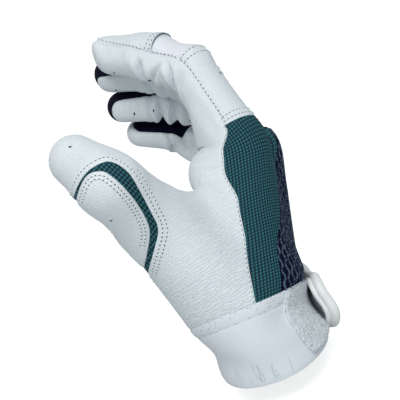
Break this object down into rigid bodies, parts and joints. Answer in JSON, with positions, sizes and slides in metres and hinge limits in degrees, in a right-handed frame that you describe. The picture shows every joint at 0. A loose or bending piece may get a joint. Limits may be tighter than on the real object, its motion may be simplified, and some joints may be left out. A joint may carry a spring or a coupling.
{
  "type": "batting glove",
  "caption": "Right-hand batting glove, half closed, of sewn leather palm and finger panels, woven and mesh stretch panels, and a wrist cuff with a hook-and-loop strap.",
  "frame": {"origin": "centre of the wrist opening at the hem", "axes": "+Z into the hand, -X towards the palm, +X out of the back of the hand, -Y towards the thumb"},
  "size_m": [0.0919, 0.1453, 0.1598],
  "materials": {
    "white_leather": "soft grained white leather",
    "flex_leather": "smoother white leather",
    "teal_weave": "tight woven stretch fabric",
    "navy_stretch": "smooth stretch fabric",
    "navy_mesh": "open knitted mesh",
    "cuff_suede": "brushed suede-like fabric",
    "loop_pile": "loop pile",
    "moulded_rim": "smooth moulded rubber",
    "hook_field": "hook field"
  },
  "bodies": {
    "hand": {"fork_index_middle": "navy_stretch", "fork_middle_ring": "navy_stretch", "fork_ring_little": "navy_stretch", "index_crease_sleeve": "white_leather", "middle_crease_sleeve": "white_leather", "ring_crease_sleeve": "white_leather", "little_crease_sleeve": "white_leather", "palm_leather": "white_leather", "thumb_leather": "white_leather", "thumb_crease_leather": "white_leather", "thumb_inset": "teal_weave", "thumb_patch": "white_leather", "side_panel": "teal_weave", "back_mesh": "navy_mesh", "index_back_leather": "white_leather", "index_flex_panel": "flex_leather", "middle_back_leather": "white_leather", "middle_flex_panel": "flex_leather", "ring_back_leather": "white_leather", "ring_flex_panel": "flex_leather", "little_back_leather": "white_leather", "little_flex_panel": "flex_leather", "cuff_seam_band": "cuff_suede", "cuff_band": "cuff_suede", "loop_patch": "loop_pile", "strap_anchor": "cuff_suede"},
    "index_end": {"index_pad_leather": "white_leather", "index_tip_leather": "white_leather", "index_tip_gusset": "navy_stretch"},
    "middle_end": {"middle_pad_leather": "white_leather", "middle_tip_leather": "white_leather", "middle_tip_gusset": "navy_stretch"},
    "ring_end": {"ring_pad_leather": "white_leather", "ring_tip_leather": "white_leather", "ring_tip_gusset": "navy_stretch"},
    "little_end": {"little_pad_leather": "white_leather", "little_tip_leather": "white_leather", "little_tip_gusset": "navy_stretch"},
    "thumb_end": {"thumb_tip_leather": "white_leather"},
    "closure_strap": {"strap_band": "cuff_suede", "strap_rim": "moulded_rim", "hook_patch": "hook_field"}
  },
  "joints": [
    {"name": "index_flex", "type": "hinge", "parent": "hand", "child": "index_end", "pos_m": [-0.0062, 0.0662, 0.1263], "axis": [-0.166, -0.6859, 0.7085], "range_deg": [-45, 35], "deforming": ["index_flex_panel", "index_crease_sleeve"]},
    {"name": "middle_flex", "type": "hinge", "parent": "hand", "child": "middle_end", "pos_m": [-0.0089, 0.0867, 0.1147], "axis": [0.1826, -0.4327, 0.8829], "range_deg": [-45, 25], "deforming": ["middle_flex_panel", "middle_crease_sleeve"]},
    {"name": "ring_flex", "type": "hinge", "parent": "hand", "child": "ring_end", "pos_m": [-0.0085, 0.0988, 0.0945], "axis": [0.2944, -0.3042, 0.906], "range_deg": [-60, 25], "deforming": ["ring_flex_panel", "ring_crease_sleeve"]},
    {"name": "little_flex", "type": "hinge", "parent": "hand", "child": "little_end", "pos_m": [-0.0194, 0.0996, 0.0717], "axis": [0.3675, -0.4198, 0.8299], "range_deg": [-45, 35], "deforming": ["little_flex_panel", "little_crease_sleeve"]},
    {"name": "thumb_flex", "type": "hinge", "parent": "hand", "child": "thumb_end", "pos_m": [-0.0345, -0.0172, 0.1038], "axis": [-0.7607, -0.4615, -0.4564], "range_deg": [-50, 0], "deforming": ["thumb_crease_leather", "thumb_inset", "thumb_patch"]},
    {"name": "strap_peel", "type": "hinge", "parent": "hand", "child": "closure_strap", "pos_m": [0.0121, 0.0506, 0.0028], "axis": [0.0845, 0.7239, 0.6847], "range_deg": [0, 110]}
  ]
}
